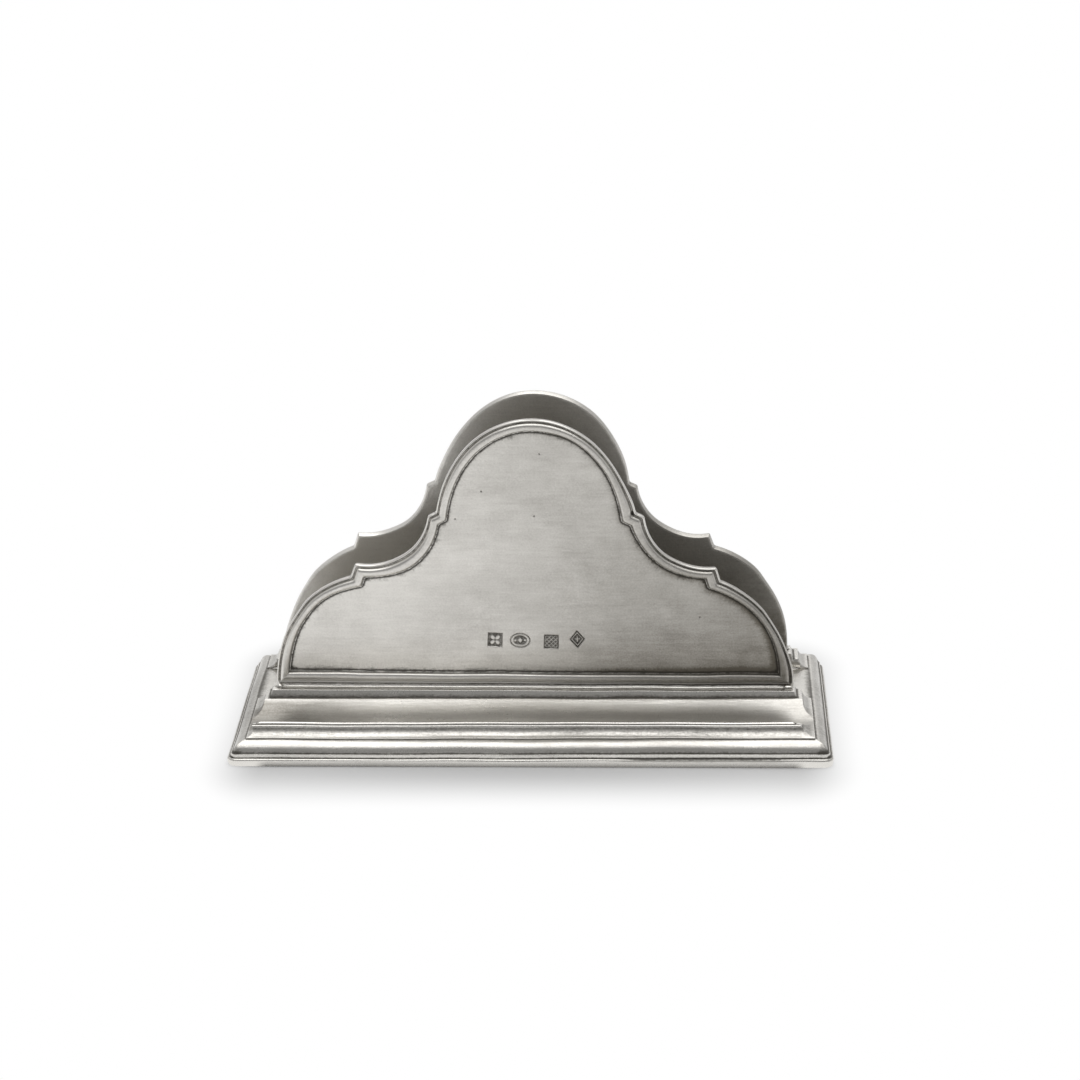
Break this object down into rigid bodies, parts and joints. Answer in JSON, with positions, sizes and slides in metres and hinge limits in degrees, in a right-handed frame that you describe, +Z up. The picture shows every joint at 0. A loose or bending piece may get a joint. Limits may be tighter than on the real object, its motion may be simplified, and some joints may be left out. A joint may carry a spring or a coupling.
{
  "type": "letter holder with pen trough",
  "caption": "Cast pewter letter holder: moulded two-tier base with a shallow pen trough in front and an open letter channel between two upright scroll-topped plates.",
  "frame": {"origin": "middle of the base's footprint, on the plane it stands on", "axes": "+X along the base's width, to the right; -Y towards the pen trough at the front; +Z up"},
  "size_m": [0.18, 0.086, 0.0963],
  "materials": {
    "pewter_casting": "cast pewter, hand-polished mouldings with dark patina left in the hollows",
    "pewter_plate": "cast pewter, brushed and antiqued panel inside a burnished rim",
    "solder": "wiped solder seam, lightly burnished"
  },
  "bodies": {
    "root": {"base_plinth": "pewter_casting", "pen_tray": "pewter_casting", "rear_step": "pewter_casting", "front_plate": "pewter_plate", "rear_plate": "pewter_plate", "front_plate_solder": "solder", "rear_plate_solder": "solder", "pen_tray_solder": "solder", "rear_step_solder": "solder"}
  },
  "joints": []
}
